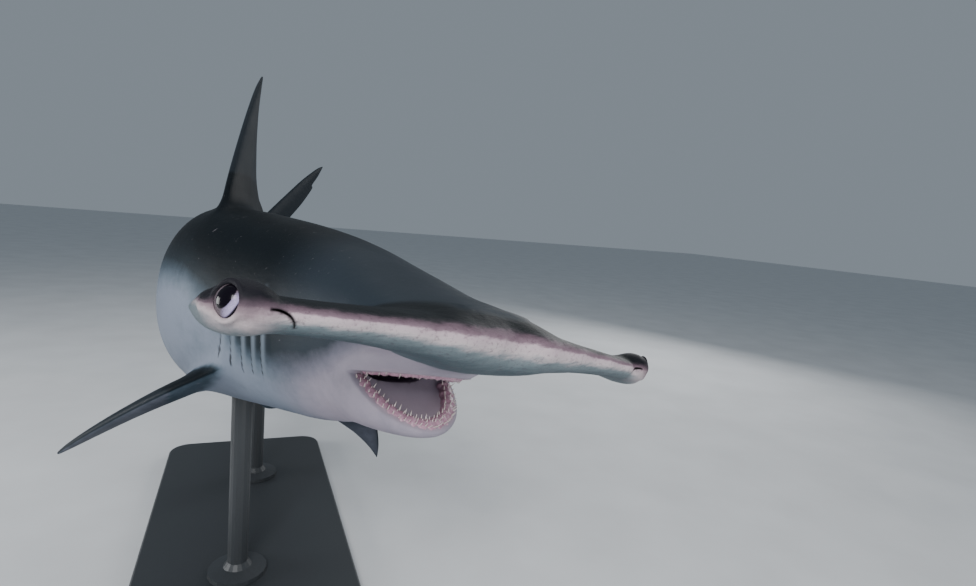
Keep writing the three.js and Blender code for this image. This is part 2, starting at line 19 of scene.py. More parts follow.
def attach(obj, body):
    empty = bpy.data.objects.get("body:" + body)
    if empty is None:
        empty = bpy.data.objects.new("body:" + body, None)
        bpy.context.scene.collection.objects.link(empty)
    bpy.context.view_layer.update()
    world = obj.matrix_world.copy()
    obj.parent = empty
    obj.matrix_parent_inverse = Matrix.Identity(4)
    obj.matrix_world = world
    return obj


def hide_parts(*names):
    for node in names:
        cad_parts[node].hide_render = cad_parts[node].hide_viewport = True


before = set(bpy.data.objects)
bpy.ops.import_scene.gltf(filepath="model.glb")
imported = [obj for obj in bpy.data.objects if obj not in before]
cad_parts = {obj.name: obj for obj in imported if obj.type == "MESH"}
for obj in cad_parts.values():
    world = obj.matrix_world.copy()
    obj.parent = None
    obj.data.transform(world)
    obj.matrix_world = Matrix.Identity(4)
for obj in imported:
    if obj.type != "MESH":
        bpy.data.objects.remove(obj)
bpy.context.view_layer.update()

# %% [markdown]
# ## The bent body
# Every form is first thought of on a straight shark: x to its left, s along the spine
# from the front of the head, z up, in millimetres. A spine that turns, climbs and banks
# then carries each point to its place. So the pose can be changed without touching a
# form, and the solids and the skin share one set of numbers.

# %% Smooth curves through a few points
def curve(points):
    """Smooth curve through given points that never overshoots them."""
    last = len(points) - 1
    step = [points[i + 1][0] - points[i][0] for i in range(last)]
    rise = [(points[i + 1][1] - points[i][1]) / step[i] for i in range(last)]
    slope = [0.0] * (last + 1)
    for i in range(1, last):
        if rise[i - 1] * rise[i] > 0:
            a = 2 * step[i] + step[i - 1]
            b = step[i] + 2 * step[i - 1]
            slope[i] = (a + b) / (a / rise[i - 1] + b / rise[i])

    def value(at):
        if at <= points[0][0]:
            return points[0][1]
        if at >= points[last][0]:
            return points[last][1]
        i = 0
        while at > points[i + 1][0]:
            i += 1
        h = step[i]
        t = (at - points[i][0]) / h
        back = 1 - t
        return ((1 + 2 * t) * back * back * points[i][1] + t * back * back * h * slope[i]
                + t * t * (3 - 2 * t) * points[i + 1][1] - t * t * back * h * slope[i + 1])
    return value


def bump(value, centre, width):
    """Bell shape of height 1 round a centre."""
    return exp(-((value - centre) / width) ** 2)


def smooth(value, low, high):
    """Soft step from 0 at low to 1 at high."""
    t = min(1.0, max(0.0, (value - low) / (high - low)))
    return t * t * (3 - 2 * t)


def power(value, exponent):
    """Power that keeps the sign."""
    return abs(value) ** exponent * (1 if value >= 0 else -1)


print("soft step half way", smooth(0.5, 0, 1))

# %% [markdown]
# ## The spine
# A swimming shark bends sideways in a long wave. The spine could be drawn as a curve
# object, but three numbers along it, how far it turns, climbs and banks, are easier to
# read and to change. The script walks along it in short steps and keeps each point with
# its three directions.

# %% Walk the spine and carry points along it
MM = 0.001
SNOUT_HEIGHT = 860
ROD_S = (900, 1500)
STEP = 10
SPINE_POINTS = 381
heading = curve([(250, -19), (750, -35), (1270, 16), (1900, -4), (2350, -9), (2850, 34)])
climb = curve([(300, -5), (1000, -5), (2400, 0)])
bank = curve([(300, -11.5), (1000, -3), (2400, -3)])


def spine_axes(s):
    """Directions backwards, to the left and up at a place along the spine."""
    turn, rise = radians(heading(s)), radians(climb(s))
    back = Vector((sin(turn) * cos(rise), cos(turn) * cos(rise), sin(rise)))
    side = Vector((cos(turn), -sin(turn), 0))
    side.rotate(Quaternion(back, -radians(bank(s))))
    return back, side, side.cross(back)


spine = []
walker = Vector((0, 0, SNOUT_HEIGHT))
for k in range(SPINE_POINTS):
    spine.append((walker.copy(), *spine_axes(k * STEP)))
    walker += spine_axes(k * STEP + STEP / 2)[0] * STEP
anchor = (spine[ROD_S[0] // STEP][0] + spine[ROD_S[1] // STEP][0]) / 2
anchor.z = 0
spine = [(point - anchor, back, side, up) for point, back, side, up in spine]


def frame_at(s):
    """Point of the spine in millimetres and its three directions."""
    along = min(max(s / STEP, 0), len(spine) - 1.001)
    i = int(along)
    point, back, side, up = (a.lerp(b, along - i) for a, b in zip(spine[i], spine[i + 1]))
    return point + back * min(s, 0), back, side, up


def place(x, s, z):
    """Point of the straight shark, in millimetres, to its place in metres."""
    point, back, side, up = frame_at(s)
    return (point + side * x + up * z) * MM


print("snout at", place(0, 0, 0), "tail root at", place(0, 2400, 0))

# %% [markdown]
# ## Closed forms
# A body like this grows from a few closed forms: a long trunk, a flat hammer, two jaws and
# nine fins. Each could be sculpted, but a sphere whose rows are laid along the form and
# whose columns run round it stays closed at both ends and has even faces, so the forms
# join cleanly later.

# %% A sphere laid along a form
def loft(columns, rows, shape):
    """Sphere with rows at t from 0 to 1 along a shape and columns at angle a round it."""
    bm = bmesh.new()
    bmesh.ops.create_uvsphere(bm, u_segments=columns, v_segments=rows, radius=1)
    poles = []
    for vert in bm.verts:
        row = round(acos(max(-1, min(1, vert.co.z))) / pi * rows)
        if row in (0, rows):
            poles.append(vert)
        else:
            vert.co = shape((row - 1) / (rows - 2), atan2(vert.co.y, vert.co.x))
    for pole in poles:
        ring = [edge.other_vert(pole).co for edge in pole.link_edges]
        pole.co = sum(ring, Vector()) / len(ring)
    bmesh.ops.recalc_face_normals(bm, faces=bm.faces)
    return bm


def egg(columns, rows, shape):
    """Sphere whose points (x, y, z) go through a shape."""
    bm = bmesh.new()
    bmesh.ops.create_uvsphere(bm, u_segments=columns, v_segments=rows, radius=1)
    for vert in bm.verts:
        vert.co = shape(*vert.co)
    bmesh.ops.recalc_face_normals(bm, faces=bm.faces)
    return bm


def face_outwards(bm):
    """Turn every face outwards, after the points have moved."""
    bm.normal_update()
    bmesh.ops.recalc_face_normals(bm, faces=bm.faces)


def to_object(name, bm):
    """New object at the origin that holds the mesh."""
    mesh = bpy.data.meshes.new(name)
    bm.to_mesh(mesh)
    obj = bpy.data.objects.new(name, mesh)
    bpy.context.scene.collection.objects.link(obj)
    return obj


trial = loft(8, 6, lambda t, a: Vector((cos(a), sin(a), t)))
print("a loft of 8 columns and 6 rows has", len(trial.faces), "faces")
trial.free()

# %% [markdown]
# ## Trunk
# The trunk is a long rounded form, highest under the first back fin, that thins out to the
# tail. A table gives its half width and its height above and below the spine at a few
# places, and curves join them, because a table is quick to compare with a picture. Its
# rows lie closer together over the gills, where each flap stands a little proud of the
# slit behind it.

# %% Lay out the trunk
TRUNK = [(70, 96, 30, 36), (150, 136, 48, 58), (220, 148, 68, 76), (300, 150, 92, 118),
         (380, 152, 116, 182), (460, 158, 142, 226), (560, 164, 170, 238), (700, 170, 200, 240),
         (880, 177, 228, 240), (1080, 176, 242, 236), (1300, 164, 230, 226),
         (1600, 136, 192, 186), (1900, 100, 148, 138), (2150, 68, 106, 98), (2350, 47, 76, 66),
         (2460, 38, 62, 56), (2560, 22, 42, 38), (2680, 3, 14, 12)]
SECTION = 2.15
half_width = curve([(row[0], row[1]) for row in TRUNK])
above = curve([(row[0], row[2]) for row in TRUNK])
below = curve([(row[0], row[3]) for row in TRUNK])
row_at = curve([(0, 70), (0.16, 300), (0.36, 560), (0.62, 740), (0.78, 1300), (1, 2680)])
GILLS = (575, 612, 649, 686, 720)
GILL_HALF_HEIGHT = 94
GILL_HEIGHT = -60
FLAP_LENGTH = 34
FLAP_SWELL = 5


def gill_half(number):
    """Half the height of a slit; the last one is the shortest."""
    return GILL_HALF_HEIGHT * (0.72 if number == 4 else 1) * (1 - 0.04 * number)


def gill_line(number, height):
    """Where slit number lies along the spine at a height, and how open it is there."""
    q = (height - GILL_HEIGHT) / gill_half(number)
    return GILLS[number] + 18 * q * q - 5 * q, max(0.0, 1 - q * q)


def gill_swell(s, height):
    """Each flap rises towards its free edge and drops behind it."""
    swell = 0.0
    for number in range(len(GILLS)):
        line, open_ = gill_line(number, height)
        before = line - s
        if -3 < before < FLAP_LENGTH:
            swell = max(swell, open_ ** 0.5 * FLAP_SWELL * (1 - before / FLAP_LENGTH)
                        * smooth(before, -3, 1))
    return swell


def trunk_point(t, a):
    """A section between an ellipse and a rounded box, swollen at the gills."""
    s = row_at(t)
    high = above(s) if sin(a) > 0 else below(s)
    z = power(sin(a), 2 / SECTION) * high
    x = power(cos(a), 2 / SECTION) * half_width(s)
    if 520 < s < 760 and abs(x) > 60:
        x += gill_swell(s, z) * (1 if x > 0 else -1)
    return place(x, s, z)


forms = {"trunk": loft(88, 230, trunk_point)}
print("trunk", len(forms["trunk"].faces))

# %% [markdown]
# ## Hammer
# The hammer is a thin wing across the front of the head. Its front edge is lightly
# scalloped, with a notch in the middle and one at each nostril, and it thickens at the
# ends, where the eyes sit. It is one loft from end to end, not two mirrored halves, so
# the middle stays smooth and the two sides can differ a little, as they do on an animal.

# %% Lay out the hammer
HALF_HAMMER = 434
UPPER_SHARE = 0.6
NOSTRIL_SHARE = 0.83
ROUND_SHARE = 0.15
TIP_DROOP = 14
REAR_SAG = 8


def hammer_edges(x):
    """Front and rear edge, half thickness and middle height at a place across.

    The two sines are shallow, uneven scallops; the bells are the notches and the swellings.
    """
    span = abs(x)
    q = span / HALF_HAMMER
    u = max(0, (q - 0.85) / ROUND_SHARE)
    rounding = 1 - sqrt(max(0, 1 - u * u))
    blunt = 1 - max(0, 1 - u ** 2.6) ** (1 / 2.6)
    front = (4 + 26 * q ** 2.2 + 14 * bump(span, 0, 45) + 2 * sin(x / 14) + 1.5 * sin(x / 31 + 2)
             + 9 * bump(span, (NOSTRIL_SHARE - 0.01) * HALF_HAMMER, 20) + 50 * rounding)
    rear = 205 - 28 * q + 90 * bump(q, 0, 0.33) - 94 * blunt
    thick = ((27 + 7 * bump(q, 0.93, 0.1) + 30 * bump(q, 0, 0.4))
             * sqrt(max(0, 1 - u ** 4)))
    return front, rear, thick, -8 - TIP_DROOP * q * q


def hammer_point(t, a):
    """The rows run from end to end, closer together towards the ends."""
    w = 2 * t - 1
    x = HALF_HAMMER * 0.999 * (0.55 * w + 0.45 * sin(w * pi / 2))
    front, rear, thick, middle = hammer_edges(x)
    mid = front + (rear - front) * 0.42
    c = cos(a)
    s = mid - (mid - front) * power(c, 0.85) if c > 0 else mid - (rear - mid) * c
    thin = 1 - 0.62 * (-c) ** 1.5 if c < 0 else 1
    high = sin(a) * thick * thin * (UPPER_SHARE if sin(a) > 0 else 1)
    sag = REAR_SAG * min(c, 0) * (x / HALF_HAMMER) ** 6
    return place(x, s, high + sag + middle)


forms["hammer"] = loft(60, 230, hammer_point)
print("hammer", 2 * HALF_HAMMER, "mm wide,", len(forms["hammer"].faces), "faces")

# %% [markdown]
# ## Jaws
# The upper jaw is a low dome under the head with a flat underside. The lower jaw is a
# shallow bowl that hangs from the hinge. An open mouth could be carved as one hollow, but
# two shut forms turned apart about the hinge line keep the gape a single number.

# %% Lay out the jaws
HINGE_S, HINGE_Z = 310, -103
JAW_HALF_WIDTH, JAW_LENGTH, JAW_BACK = 116, 152, 130
MUZZLE_HALF_WIDTH, MUZZLE_LENGTH, MUZZLE_BACK = 117, 158, 140
JAW_DROP, SNOUT_LIFT = 34, 8


def about_hinge(degrees):
    """A way to put points that turns them about the hinge line first."""
    turn = radians(degrees)

    def put(x, s, z):
        ds, dz = s - HINGE_S, z - HINGE_Z
        return place(x, HINGE_S + ds * cos(turn) - dz * sin(turn),
                     HINGE_Z + dz * cos(turn) + ds * sin(turn))
    return put


jaw_place, snout_place = about_hinge(JAW_DROP), about_hinge(-SNOUT_LIFT)


def jaw_point(x, y, z):
    """The bowl is shallow at the chin and deep at the throat."""
    s = HINGE_S + (JAW_LENGTH if y < 0 else JAW_BACK) * y
    deep = 44 + 86 * (s - HINGE_S + JAW_LENGTH) / JAW_LENGTH
    rise = 14 * power(z, 0.6) if z > 0 else deep * power(z, 0.9)
    return jaw_place(JAW_HALF_WIDTH * power(x, 0.92), s, HINGE_Z + rise)


def muzzle_point(x, y, z):
    """In front the muzzle flares upward into the underside of the hammer."""
    flare = 1 + 0.8 * max(0, z) * smooth(-y, 0, 0.6)
    s = HINGE_S + (MUZZLE_LENGTH if y < 0 else MUZZLE_BACK) * y * flare
    rise = 56 * power(z, 0.9) if z > 0 else 5 * power(z, 0.5)
    return snout_place(MUZZLE_HALF_WIDTH * power(x, 0.92) * flare, s, HINGE_Z + rise)


forms["jaw"] = egg(88, 56, jaw_point)
forms["muzzle"] = egg(88, 44, muzzle_point)
print("gape", JAW_DROP + SNOUT_LIFT, "degrees")

# %% [markdown]
# ## Eye sockets and lids
# Each eye sits deep at the end of the hammer. An egg of flesh stands behind it, a bowl is
# pressed into the flesh before it, and a ring between them stands for the lids. The bowl
# is pressed in before the forms are joined, by moving points, because that keeps its
# surface soft, where a cut would leave a sharp edge.

# %% Lay out the flesh round the eyes
EYE_AT = (417, 49, -15)
EYE_RADIUS = 23.5
EYE_GAP = 0.3
EYE_DEPTH = 18
EYE_NARROWING = 0.8
EYE_CANT = radians(30)
BOWL_RADIUS = 28
BOWL_MIDDLE = 16
LID_RADIUS = 3.5
LID_RING_RADIUS = 22
LID_DEPTH = 4
ORBIT_HALF = (36, 27, 32)
ORBIT_DEPTH = 26
SIDES = ((-1, "right"), (1, "left"))


def eye_axes(hand):
    """Middle of the lids, then the directions across, up and out of an eye."""
    out = (place(hand * cos(EYE_CANT), -sin(EYE_CANT), 0) - place(0, 0, 0)).normalized()
    across = frame_at(0)[3].cross(out).normalized()
    middle = place(hand * EYE_AT[0], EYE_AT[1], EYE_AT[2])
    return middle, across, out.cross(across), out


def eye_place(hand):
    """A way to put points given across, up and out of an eye, in millimetres."""
    at, across, high, out = eye_axes(hand)
    return lambda a, b, c: at + (across * a + high * b + out * c) * MM


def press_bowl(bm, hand):
    """Push the points that lie inside the bowl before an eye back to its surface."""
    at, across, high, out = eye_axes(hand)
    put = eye_place(hand)
    for vert in bm.verts:
        away = (vert.co - at) / MM
        a, b, c = away.dot(across), away.dot(high), away.dot(out)
        level = 1 - (a / (BOWL_RADIUS * EYE_NARROWING)) ** 2 - (b / BOWL_RADIUS) ** 2
        if level > 0 and c > BOWL_MIDDLE - BOWL_RADIUS * sqrt(level):
            vert.co = put(a, b, BOWL_MIDDLE - BOWL_RADIUS * sqrt(level))


def lid(hand):
    """A circle spun into a ring, then made oval."""
    put = eye_place(hand)
    bm = bmesh.new()
    section = bmesh.ops.create_circle(bm, radius=LID_RADIUS, segments=14)["verts"]
    bmesh.ops.transform(bm, verts=section, matrix=Matrix.Translation((LID_RING_RADIUS, 0, 0))
                        @ Matrix.Rotation(pi / 2, 4, "X"))
    bmesh.ops.spin(bm, geom=bm.verts[:] + bm.edges[:], cent=(0, 0, 0), axis=(0, 0, 1),
                   angle=2 * pi, steps=48, use_merge=True)
    for vert in bm.verts:
        vert.co = put(vert.co.x * EYE_NARROWING, vert.co.y, vert.co.z - LID_DEPTH)
    bmesh.ops.recalc_face_normals(bm, faces=bm.faces)
    return bm


def orbit(hand):
    """The egg of flesh behind an eye."""
    put = eye_place(hand)
    wide, high, deep = ORBIT_HALF
    return egg(64, 48, lambda x, y, z: put(wide * x, high * y, deep * z - ORBIT_DEPTH))


for hand, name in SIDES:
    forms["orbit_" + name] = orbit(hand)
    press_bowl(forms["hammer"], hand)
    press_bowl(forms["orbit_" + name], hand)
    forms["lid_" + name] = lid(hand)
    print("eye", name, "at", eye_axes(hand)[0])

# %% [markdown]
# ## Fins
# A fin is a thin blade between a leading and a trailing edge. A flat outline with a Solidify
# modifier would give it one thickness, but a real fin is thick at the root and fades to a
# thin rear edge, so it is a loft between the two edges. Both edges are curves through a
# few points, measured along the body and out from it. Fins on the middle line follow the
# spine. The first back fin stands stiffly, and paired fins droop and sweep.

# %% Blades between two edges
THICKEST = 0.36
EDGE_HALF = 1.6


def edge_of(points):
    """Edge through points (along, out), by share of the way."""
    last = len(points) - 1
    chord = curve([(i / last, point[0]) for i, point in enumerate(points)])
    span = curve([(i / last, point[1]) for i, point in enumerate(points)])
    return lambda t: (chord(t), span(t))


def blade(lead, trail, thick, put, columns, rows):
    """Fin between two edges, thickest a third of the way back."""
    front, rear = edge_of(lead), edge_of(trail)

    def point(t, a):
        (fc, fs), (rc, rs) = front(t), rear(t)
        c = cos(a)
        share = THICKEST * (1 - c) if c > 0 else THICKEST - (1 - THICKEST) * c
        thin = 1 - 0.9 * (-c) ** 1.2 if c < 0 else 1
        wide = (thick * (1 - t) ** 0.9 + EDGE_HALF) * sin(a) * thin
        return put(fc + (rc - fc) * share, fs + (rs - fs) * share, wide)
    return loft(columns, rows, point)


def median_put(s0, z0, up):
    """Fin on the middle line that bends with the spine."""
    return lambda chord, span, wide: place(wide, s0 + chord, z0 + up * span)


def stiff_put(s0, z0, frame_s, lean):
    """Fin on the middle line that stays flat and leans."""
    _, back, side, up = frame_at(frame_s)
    turn = Quaternion(back, radians(lean))
    side, up = turn @ side, turn @ up
    root = place(0, s0, z0)
    return lambda chord, span, wide: root + (back * chord + up * span + side * wide) * MM


def paired_put(hand, s0, x0, z0, droop, sweep, twist, curl):
    """Fin of a pair: turned down, back and about its own length, with a curled tip."""
    _, back, side, up = frame_at(s0)
    root = place(hand * x0, s0, z0)
    droop, sweep, twist = radians(droop), radians(sweep), radians(twist)

    def mix(a, b, angle):
        return a * cos(angle) + b * sin(angle)

    level = side * hand
    out, top = mix(level, up, -droop), mix(up, level, droop)
    span_axis, flat = mix(out, back, sweep), mix(back, out, -sweep / 2)
    chord_axis, face = mix(flat, top, -twist), mix(top, flat, twist)
    return lambda chord, span, wide: root + MM * (
        chord_axis * chord + span_axis * span
        + face * (wide - curl * (max(0, span) / 400) ** 2))


print("a fin is thickest at", THICKEST, "of its width")

# %% [markdown]
# ## Nine fins
# Each fin has its own two edges. The two chest fins share one outline and differ only in
# how they are held: the right one sweeps back and the left one, on the inside of the turn,
# reaches forward and is twisted more. The tail has a long upper lobe and a short lower one.

# %% Lay out the nine fins
pectoral = dict(
    lead=[(-140, -110), (-112, 75), (-52, 187), (34, 290), (102, 350), (141, 376)],
    trail=[(112, -110), (164, 33), (103, 89), (86, 164), (97, 257), (122, 335), (143, 375)],
    thick=24, columns=40, rows=70)
pelvic = dict(
    lead=[(-90, -40), (-50, 50), (10, 115), (70, 165), (115, 190)],
    trail=[(80, -40), (205, 20), (125, 50), (85, 95), (92, 150), (117, 189)],
    thick=10, columns=28, rows=36)
forms["dorsal_first"] = blade(
    [(-165, -45), (-95, 60), (20, 200), (130, 320), (215, 400), (265, 437)],
    [(150, -40), (275, 18), (218, 60), (190, 130), (200, 260), (238, 370), (266, 436)],
    25, stiff_put(1005, 232, 1215, -6), 40, 80)
forms["dorsal_second"] = blade(
    [(-85, -25), (-35, 40), (20, 95), (60, 135), (82, 150)],
    [(70, -25), (205, 18), (120, 30), (72, 70), (70, 115), (84, 149)],
    9, median_put(2130, 92, 1), 28, 36)
forms["anal"] = blade(
    [(-95, -25), (-40, 40), (15, 90), (60, 125), (88, 140)],
    [(80, -25), (200, 18), (110, 34), (70, 62), (72, 105), (90, 139)],
    9, median_put(2120, -86, -1), 28, 36)
forms["pectoral_right"] = blade(put=paired_put(-1, 850, 112, -180, 32, 35, 26, 24), **pectoral)
forms["pectoral_left"] = blade(put=paired_put(1, 850, 112, -180, 32, -28, 40, 10), **pectoral)
for hand, name in SIDES:
    forms["pelvic_" + name] = blade(put=paired_put(hand, 1700, 76, -118, 42, 0, 0, 0), **pelvic)
forms["tail_upper"] = blade(
    [(-110, 20), (40, 100), (240, 215), (470, 358), (690, 490), (860, 572), (905, 584)],
    [(-60, -40), (200, -20), (330, 70), (520, 215), (700, 345), (800, 440), (790, 452),
     (860, 520), (907, 578)],
    22, median_put(2480, 0, 1), 36, 120)
forms["tail_lower"] = blade(
    [(-90, -20), (20, 110), (110, 220), (190, 320), (240, 380)],
    [(200, -45), (205, 40), (170, 120), (185, 220), (215, 310), (242, 379)],
    20, median_put(2480, 0, -1), 36, 60)
print("forms", {name: len(bm.faces) for name, bm in forms.items()})

# %% [markdown]
# ## One skin
# A shark's skin runs without a seam from snout to tail. The forms could be melted together
# by a voxel remesh, but that would round off the thin fin edges, so they are joined by one
# Boolean, all at once.

# %% Join the forms
def boolean(obj, others, operation):
    """Join or cut all the other objects in one step, and remove them."""
    group = bpy.data.collections.new("operands")
    bpy.context.scene.collection.children.link(group)
    for other in others:
        group.objects.link(other)
    step = obj.modifiers.new("form", "BOOLEAN")
    step.operation = operation
    step.operand_type = "COLLECTION"
    step.collection = group
    step.solver = "EXACT"
    graph = bpy.context.evaluated_depsgraph_get()
    mesh = bpy.data.meshes.new_from_object(obj.evaluated_get(graph))
    obj.modifiers.remove(step)
    obj.data = mesh
    for other in others:
        bpy.data.objects.remove(other)
    bpy.data.collections.remove(group)


def tidy(bm):
    """Split the many-sided faces that a Boolean leaves, and count the open edges."""
    bmesh.ops.triangulate(bm, faces=[f for f in bm.faces if len(f.verts) > 4])
    bmesh.ops.recalc_face_normals(bm, faces=bm.faces)
    open_edges = [edge for edge in bm.edges if edge.is_boundary]
    print("faces", len(bm.faces), "open edges", len(open_edges))


trees = {name: BVHTree.FromBMesh(bm) for name, bm in forms.items()}
objects = {name: to_object("form_" + name, bm) for name, bm in forms.items()}
skin = objects.pop("trunk")
boolean(skin, list(objects.values()), "UNION")
bm = bmesh.new()
bm.from_mesh(skin.data)
tidy(bm)
bm.normal_update()

# %% [markdown]
# ## Soft creases
# A Boolean leaves a hard crease where two forms meet, and flesh has none. A bevel fails on
# such uneven faces, so each point near a second form is pushed out by the amount of a
# smooth fillet and then relaxed. How far a fillet reaches belongs to the form: far at the
# head, hardly at all at the lids, and the lips stay sharp.

# %% Fill the creases
FILLET = {"trunk": 0.06, "hammer": 0.06, "jaw": 0.05, "muzzle": 0.03, "orbit_right": 0.02,
          "orbit_left": 0.02, "lid_right": 0.005, "lid_left": 0.005}
FIN_FILLET = 0.04
CLOSE = {("jaw", "muzzle"): 0.012}
EYE_CLEAR = (0.028, 0.045)
RELAX_TURNS = 12


def relax(bm, verts):
    """Move points half way towards the middle of their neighbours."""
    bmesh.ops.smooth_vert(bm, verts=verts, factor=0.5, use_axis_x=True, use_axis_y=True,
                          use_axis_z=True)


pushed = []
eye_points = [eye_axes(hand)[0] for hand, name in SIDES]
for vert in bm.verts:
    near = []
    for name, tree in trees.items():
        reach = FILLET.get(name, FIN_FILLET)
        hit = tree.find_nearest(vert.co, reach)
        if hit[0] is not None:
            near.append((hit[3] / reach, reach, hit[3], name))
    near.sort()
    if len(near) > 1:
        pair = tuple(sorted((near[0][3], near[1][3])))
        reach = CLOSE.get(pair, min(near[0][1], near[1][1]))
        ratio = min(1, near[1][2] / reach)
        clear = min(smooth((vert.co - at).length, *EYE_CLEAR) for at in eye_points)
        if "lid" in pair[0]:
            clear = 1
        pushed.append((vert, 1 - clear * (1 - ratio),
                       vert.co + vert.normal * reach / 4 * clear * (1 - ratio) ** 2))
for vert, ratio, to in pushed:
    vert.co = to
for turn in range(RELAX_TURNS):
    relax(bm, [vert for vert, ratio, to in pushed if ratio < 0.6 - 0.04 * turn])
print("filleted", len(pushed))
bm.to_mesh(skin.data)
bm.free()

# %% [markdown]
# ## Mouth, sockets, nostrils and gill slits
# The mouth, the eye sockets, the nostrils and the gill slits are cut out of the joined
# body, so their walls belong to the same skin. Each cutter is an egg: flat and bent for a
# slit, wide and low for the palate and the floor of the mouth. They are cut in one step,
# and then the rim of the mouth is relaxed so the lips look soft.

# %% Shapes to cut with
SLIT_HALF = 1.8
NOSTRIL_HALF = 1.4
NOSTRIL_HEIGHT = -17


def ball(hand, radius, columns=32, rows=20):
    """Ball at an eye's place, for the socket and for the eye itself."""
    put = eye_place(hand)
    return egg(columns, rows, lambda x, y, z: put(radius * x, radius * y,
                                                  radius * z - EYE_DEPTH))


def nostril(hand):
    """Thin slit that hooks down at its inner end."""
    x0 = hand * NOSTRIL_SHARE * HALF_HAMMER
    front = hammer_edges(x0)[0]
    return egg(24, 14, lambda x, y, z: place(
        x0 + 19 * x, front + 2 + 15 * y,
        NOSTRIL_HEIGHT + NOSTRIL_HALF * z + hand * 5 * x - 5 * x * x - 9 * max(0, -hand * x) ** 4))


def slit(hand, number):
    """Thin cut that follows a gill line and slants in behind its flap."""
    def shape(x, y, z):
        height = GILL_HEIGHT + 0.97 * y * gill_half(number)
        s, _ = gill_line(number, height)
        high = above(s) if height > 0 else below(s)
        wall = half_width(s) * max(0.05, 1 - (abs(height) / high) ** SECTION) ** (1 / SECTION)
        return place(hand * (wall - 2 + 13 * x), s + 1 + 7 * x + SLIT_HALF * z, height)
    return egg(12, 24, shape)


def hollow(centre, half, put=place):
    """Egg-shaped hollow on the middle line."""
    cx, cs, cz = centre
    hx, hs, hz = half
    return egg(56, 32, lambda x, y, z: put(cx + hx * x, cs + hs * y, cz + hz * z))


cutters = {
    "palate": hollow((0, HINGE_S - 52, HINGE_Z), (92, 90, 26), snout_place),
    "floor": hollow((0, HINGE_S - 34, HINGE_Z + 12), (92, 102, 36), jaw_place),
    "gullet": hollow((0, HINGE_S + 40, HINGE_Z - 6), (66, 92, 14)),
}
for hand, name in SIDES:
    cutters["socket_" + name] = ball(hand, EYE_RADIUS + EYE_GAP)
    cutters["nostril_" + name] = nostril(hand)
    for number in range(len(GILLS)):
        cutters[f"slit_{name}_{number}"] = slit(hand, number)
print("cutters", len(cutters))

# %% Cut and soften the lips
cut_trees = {name: BVHTree.FromBMesh(bm) for name, bm in cutters.items()}
boolean(skin, [to_object("cut_" + name, bm) for name, bm in cutters.items()], "DIFFERENCE")

bm = bmesh.new()
bm.from_mesh(skin.data)
tidy(bm)
rim = [vert for vert in bm.verts
       if any(cut_trees[name].find_nearest(vert.co, 0.004)[0] for name in ("palate", "floor"))
       and any(edge.calc_face_angle(0) > 0.5 for edge in vert.link_edges)]
for turn in range(5):
    relax(bm, rim)
print("points on the rim of the mouth", len(rim))
bm.to_mesh(skin.data)
bm.free()

# %% [markdown]
# ## Where the colours lie
# Colours follow the body: dark above and pale below, scars along the front of the hammer,
# mauve in the mouth. Some of the dark is painted shade: on the neck under the hammer, on the
# hammer's underside, in the slits and deep in the mouth; the gill flaps' edges carry a
# painted highlight. A painted image could hold this, but numbers stored on the points
# need no image and stay with the form. Each point of the skin is traced back to the
# straight shark, and a few soft masks are stored on it for the material.

# %% Trace points back to the straight shark
SPINE_END = 3700
spine_tree = KDTree(len(spine))
for i, (point, back, side, up) in enumerate(spine):
    spine_tree.insert(point * MM, i)
spine_tree.balance()


def straighten(co):
    """x, s and z of the straight shark for a point in its place."""
    _, i, _ = spine_tree.find(co)
    s = i * STEP
    for _ in range(3):
        point, back, side, up = frame_at(s)
        away = co / MM - point
        s += away.dot(back)
        s = min(max(s, 0), SPINE_END)
    return away.dot(side), s, away.dot(up)


print("front of the head is at", straighten(place(0, 0, 0)))

# %% Rules for light and dark
# Height where the back turns dark. It is low from the head to the gills, s 300 to 620, as a
# painted shadow of the hammer on the neck; elsewhere it is the shark's own countershading.
back_line_and_neck_shade = curve([(0, -0.3), (300, -0.5), (420, -0.5), (620, -0.42), (780, 0.12), (900, 0.34),
                  (1300, 0.2), (1700, 0.0), (2100, -0.3), (2350, -0.7), (2520, -1.5)])


def hammer_height(x, s, z):
    """Height in the hammer from -1 below to 1 above, and share of its chord."""
    front, rear, thick, middle = hammer_edges(x)
    rel = (z - middle) / max(thick, 12)
    return rel / (UPPER_SHARE if rel > 0 else 1), min(max((s - front) / (rear - front), 0), 1)


def trunk_tone(s, z):
    """0 on the pale belly, 1 on the dark back, with the neck under the hammer darkened as painted
    shadow.
    """
    high = above(s) if z > 0 else below(s)
    return smooth(z / max(high, 10), back_line_and_neck_shade(s) - 0.34, back_line_and_neck_shade(s) + 0.36)


def part_tone(part, s, z, normal):
    """Fins are dark, paired ones only on top; the jaw is pale."""
    if part.startswith(("pectoral", "pelvic")):
        return 0.42 + 0.58 * smooth(normal.dot(frame_at(s)[3]), -0.6, 0.0)
    if part.startswith(("dorsal", "tail")):
        return 1.0
    return {"anal": 0.45, "jaw": 0.0}.get(part, trunk_tone(s, z))


def near_cut(co, names, reach):
    """Distance to the nearest of some cutters, or the reach."""
    found = [reach]
    for name, tree in cut_trees.items():
        if name.startswith(names):
            hit = tree.find_nearest(co, reach)
            if hit[0] is not None:
                found.append(hit[3])
    return min(found)


def flap_edge_highlight(x, s, z):
    """1 along the free edge of a gill flap, where a painted highlight goes."""
    flap = 0.0
    if 540 < s < 740 and abs(x) > 60:
        for number in range(len(GILLS)):
            line, open_ = gill_line(number, z)
            flap = max(flap, open_ ** 0.5 * bump(line - s, 8, 7))
    return flap


print("back turns dark above", back_line_and_neck_shade(1000), "of the height at the first back fin")

# %% Store the masks on the points
WING = ("hammer", "orbit", "lid")
MOUTH = ("palate", "floor", "gullet")
LIPS = ("palate", "floor")
SLITS = ("slit", "nostril")
MASKS = ("tone", "height", "wing", "front", "end", "lining", "depth", "slit", "flap", "lip",
         "throat")
FAR = 1.0
SEARCH = 0.09


def store(mesh, name, values):
    """Keep one number for each point of a mesh, for its material to read."""
    mesh.attributes.new(name, "FLOAT", "POINT").data.foreach_set("value", values)


